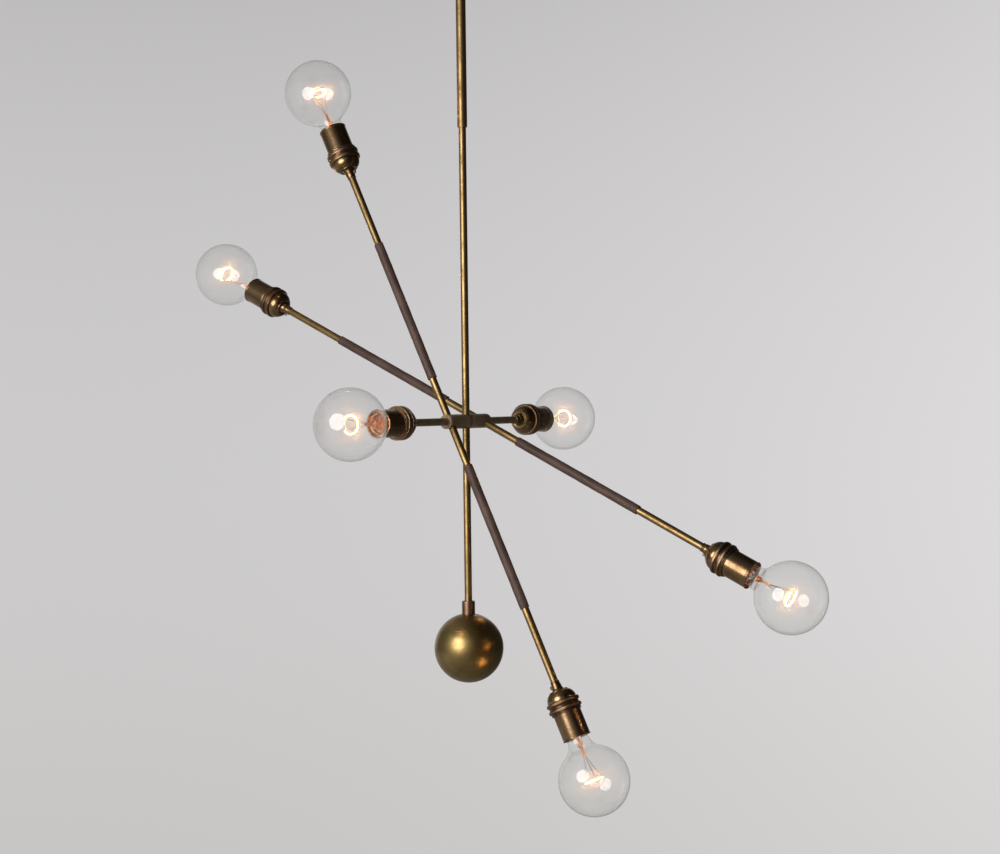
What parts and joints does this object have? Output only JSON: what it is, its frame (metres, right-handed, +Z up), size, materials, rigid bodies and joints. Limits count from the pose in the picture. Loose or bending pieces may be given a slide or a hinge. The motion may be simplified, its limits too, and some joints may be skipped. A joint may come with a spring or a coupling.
{
  "type": "sputnik chandelier",
  "caption": "Stem-hung ceiling light with a bronze hub, turning crossed brass arms in leather sleeves, clear globe bulbs in ringed lampholders and a ball at the foot.",
  "frame": {"origin": "centre of the ceiling bracket's top face, in the ceiling plane", "axes": "+Z up out of the ceiling face; X along the hub's axis, with the front barrel at -X; the long arms turn in planes square to X"},
  "size_m": [0.621, 1.0306, 1.208],
  "materials": {
    "aged_brass": "aged, satin",
    "dark_bronze": "dark patina",
    "copper_brown": "brown patina",
    "zinc_steel": "zinc plated",
    "brown_leather": "sewn, worn",
    "clear_glass": "clear",
    "base_metal": "bright",
    "lamp_mount": "clear with a warm glow",
    "insulator": "moulded, brown",
    "wire_insulation": "plain"
  },
  "bodies": {
    "ceiling": {"ceiling_bracket": "zinc_steel", "bracket_nut": "zinc_steel", "canopy_nipple": "zinc_steel", "canopy_cover": "aged_brass", "swivel_housing": "aged_brass", "swivel_retainer": "aged_brass"},
    "stem": {"swivel_stud": "aged_brass", "stem_pipe": "aged_brass", "stem_sleeve": "aged_brass", "stem_wires": "wire_insulation", "hub_core": "dark_bronze", "hub_pivot": "zinc_steel", "pivot_nuts": "zinc_steel", "lower_pipe": "aged_brass", "ball_collar": "copper_brown", "ball_cap": "aged_brass", "ball_bowl": "aged_brass", "ball_nut": "zinc_steel"},
    "front_arms": {"front_barrel": "dark_bronze", "front_end_plug": "dark_bronze", "front_short_arm": "dark_bronze", "front_long_arms": "aged_brass", "front_leather_sleeves": "brown_leather", "front_arm_wires": "wire_insulation", "front_holder_caps": "aged_brass", "front_neck_screws": "aged_brass", "front_shade_rings": "aged_brass", "front_holder_shells": "aged_brass", "front_socket_cores": "insulator", "front_socket_contacts": "base_metal"},
    "rear_arms": {"rear_barrel": "dark_bronze", "rear_end_plug": "dark_bronze", "rear_short_arm": "dark_bronze", "rear_long_arms": "aged_brass", "rear_leather_sleeves": "brown_leather", "rear_arm_wires": "wire_insulation", "rear_holder_caps": "aged_brass", "rear_neck_screws": "aged_brass", "rear_shade_rings": "aged_brass", "rear_holder_shells": "aged_brass", "rear_socket_cores": "insulator", "rear_socket_contacts": "base_metal"},
    "front_top_bulb": {"front_top_bulb_glass": "clear_glass", "front_top_bulb_base": "base_metal", "front_top_bulb_mount": "lamp_mount"},
    "front_bottom_bulb": {"front_bottom_bulb_glass": "clear_glass", "front_bottom_bulb_base": "base_metal", "front_bottom_bulb_mount": "lamp_mount"},
    "front_end_bulb": {"front_end_bulb_glass": "clear_glass", "front_end_bulb_base": "base_metal", "front_end_bulb_mount": "lamp_mount"},
    "rear_top_bulb": {"rear_top_bulb_glass": "clear_glass", "rear_top_bulb_base": "base_metal", "rear_top_bulb_mount": "lamp_mount"},
    "rear_bottom_bulb": {"rear_bottom_bulb_glass": "clear_glass", "rear_bottom_bulb_base": "base_metal", "rear_bottom_bulb_mount": "lamp_mount"},
    "rear_end_bulb": {"rear_end_bulb_glass": "clear_glass", "rear_end_bulb_base": "base_metal", "rear_end_bulb_mount": "lamp_mount"}
  },
  "joints": [
    {"name": "arm_turn_front", "type": "hinge", "parent": "stem", "child": "front_arms", "pos_m": [-0.0395, 0, -0.69], "axis": [1, 0, 0], "range_deg": [-24.8, 15.2]},
    {"name": "arm_turn_rear", "type": "hinge", "parent": "stem", "child": "rear_arms", "pos_m": [0.0395, 0, -0.69], "axis": [1, 0, 0], "range_deg": [-60, 7]},
    {"name": "stem_swivel", "type": "hinge", "parent": "ceiling", "child": "stem", "pos_m": [0, 0, -0.04], "axis": [0, 0, 1], "range_deg": [-165, 165]},
    {"name": "unscrew_front_top", "type": "slide", "parent": "front_arms", "child": "front_top_bulb", "axis": [0, 0.4258, 0.9048], "range_m": [0, 0.03]},
    {"name": "unscrew_front_bottom", "type": "slide", "parent": "front_arms", "child": "front_bottom_bulb", "axis": [0, -0.4258, -0.9048], "range_m": [0, 0.03]},
    {"name": "unscrew_front_end", "type": "slide", "parent": "front_arms", "child": "front_end_bulb", "axis": [-1, 0, 0], "range_m": [0, 0.03]},
    {"name": "unscrew_rear_top", "type": "slide", "parent": "rear_arms", "child": "rear_top_bulb", "axis": [0, 0.8996, 0.4368], "range_m": [0, 0.03]},
    {"name": "unscrew_rear_bottom", "type": "slide", "parent": "rear_arms", "child": "rear_bottom_bulb", "axis": [0, -0.8996, -0.4368], "range_m": [0, 0.03]},
    {"name": "unscrew_rear_end", "type": "slide", "parent": "rear_arms", "child": "rear_end_bulb", "axis": [1, 0, 0], "range_m": [0, 0.03]}
  ]
}
